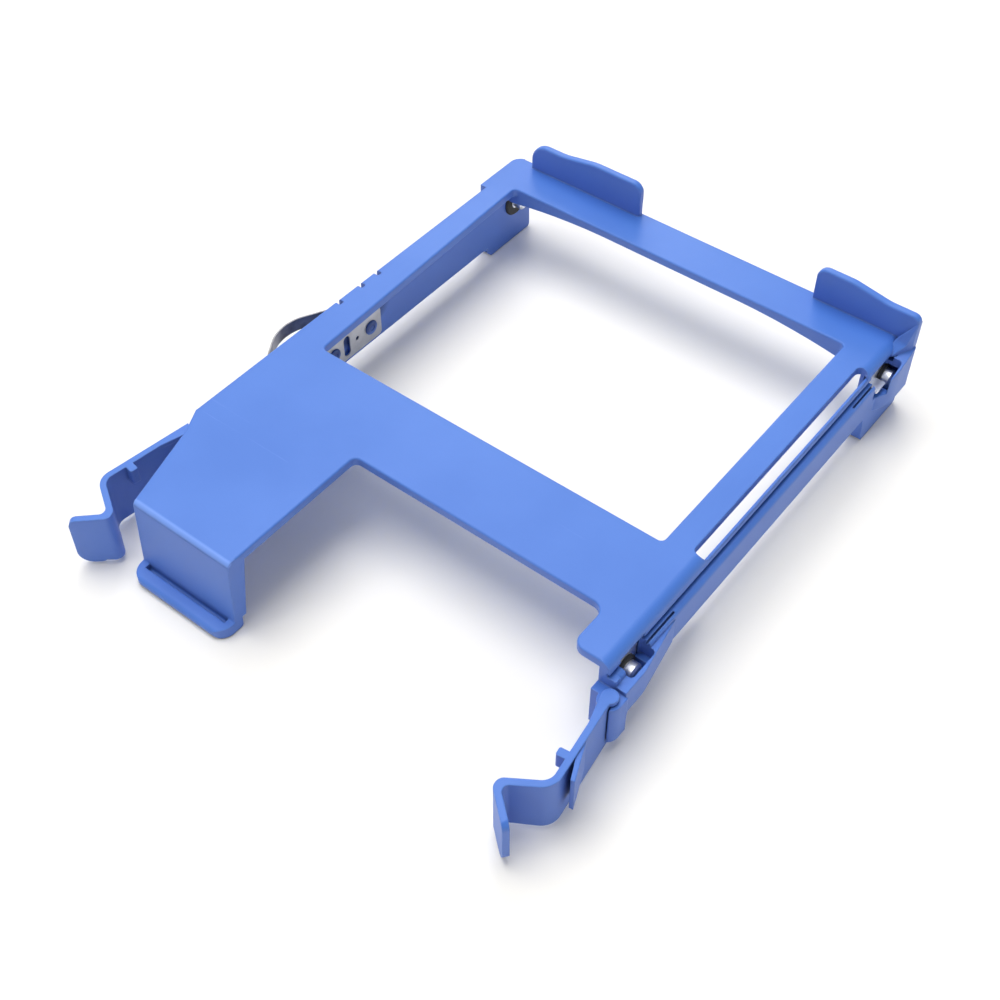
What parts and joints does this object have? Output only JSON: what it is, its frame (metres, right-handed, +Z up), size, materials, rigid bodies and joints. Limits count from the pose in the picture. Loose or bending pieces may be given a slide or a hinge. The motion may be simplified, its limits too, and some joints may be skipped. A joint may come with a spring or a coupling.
{
  "type": "hard drive caddy",
  "caption": "Open blue plastic tray that grips a 3.5-inch hard drive on sprung side pins and slides into a computer's drive bay, with squeeze levers to release it.",
  "frame": {"origin": "middle of the caddy's underside box, on the surface that it lies on", "axes": "+Z up out of the top plate, -Y the way the levers point, X across the drive"},
  "size_m": [0.1226, 0.1498, 0.0288],
  "materials": {
    "blue_plastic": "satin moulded",
    "spring_steel": "bright rolled",
    "pin_steel": "turned",
    "black_rubber": "matte"
  },
  "bodies": {
    "base": {"caddy_frame": "blue_plastic", "ground_spring": "spring_steel", "left_front_leaf": "spring_steel", "left_front_pin": "pin_steel", "left_front_grommet": "black_rubber", "left_rear_leaf": "spring_steel", "left_rear_pin": "pin_steel", "left_rear_grommet": "black_rubber", "right_front_leaf": "spring_steel", "right_front_pin": "pin_steel", "right_front_grommet": "black_rubber", "right_rear_leaf": "spring_steel", "right_rear_pin": "pin_steel", "right_rear_grommet": "black_rubber"},
    "left_lever": {"left_release_lever": "blue_plastic"},
    "right_lever": {"right_release_lever": "blue_plastic"}
  },
  "joints": [
    {"name": "left_lever_hinge", "type": "hinge", "parent": "base", "child": "left_lever", "pos_m": [-0.0559, -0.04193, 0.009], "axis": [0, 0, 1], "range_deg": [0, 7], "stiffness_Nm_per_rad": 2},
    {"name": "right_lever_hinge", "type": "hinge", "parent": "base", "child": "right_lever", "pos_m": [0.0559, -0.04193, 0.009], "axis": [0, 0, -1], "range_deg": [0, 7], "stiffness_Nm_per_rad": 2}
  ]
}
